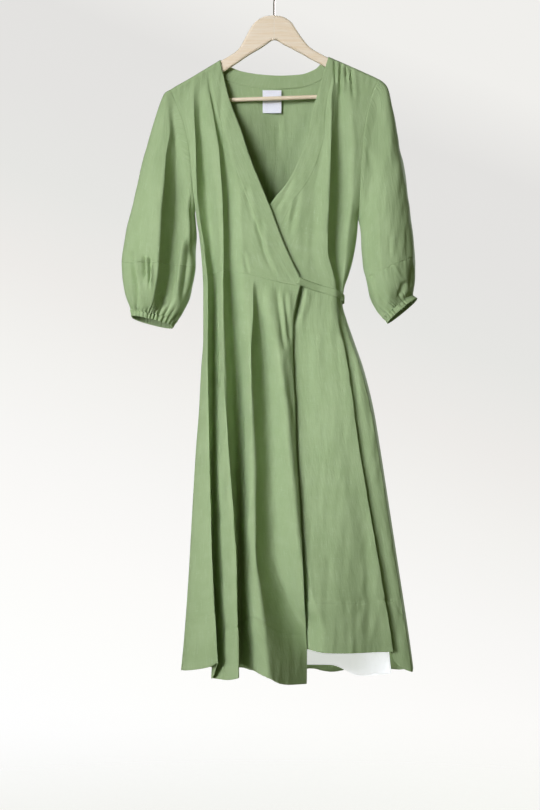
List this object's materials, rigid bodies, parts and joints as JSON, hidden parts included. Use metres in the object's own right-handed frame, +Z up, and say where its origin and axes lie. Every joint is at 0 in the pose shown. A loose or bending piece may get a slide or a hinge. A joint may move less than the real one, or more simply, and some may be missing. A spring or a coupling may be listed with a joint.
{
  "type": "wrap dress on a hanger",
  "caption": "Midi V-neck wrap dress with gathered balloon sleeves and a narrow side tie, hanging on a flat wooden hanger with a wire hook and a trouser bar.",
  "frame": {"origin": "inner top of the hanger's hook, where a rail carries it", "axes": "+Z up, the front of the dress towards -Y, the wearer's left side towards +X"},
  "size_m": [0.569, 0.2552, 1.3697],
  "materials": {
    "linen": "matt sage green linen",
    "white_cotton": "matt white cotton",
    "maple": "satin varnish",
    "plated_wire": "polished wire"
  },
  "bodies": {
    "root": {"bodice_back": "linen", "bodice_front_left": "linen", "bodice_front_right": "linen", "cuff_left": "linen", "cuff_right": "linen", "hanger_arm_left": "maple", "hanger_arm_right": "maple", "hanger_bar": "maple", "hanger_hook": "plated_wire", "neck_label": "white_cotton", "neckband_back": "linen", "neckband_front_left": "linen", "neckband_front_right": "linen", "skirt_back": "linen", "skirt_front_left": "linen", "skirt_front_right": "linen", "skirt_lining": "white_cotton", "sleeve_left": "linen", "sleeve_panel_left": "linen", "sleeve_panel_right": "linen", "sleeve_right": "linen", "tie_knot": "linen", "tie_tail_long": "linen", "tie_tail_short": "linen", "waist_tie": "linen", "waist_tie_back": "linen"}
  },
  "joints": []
}
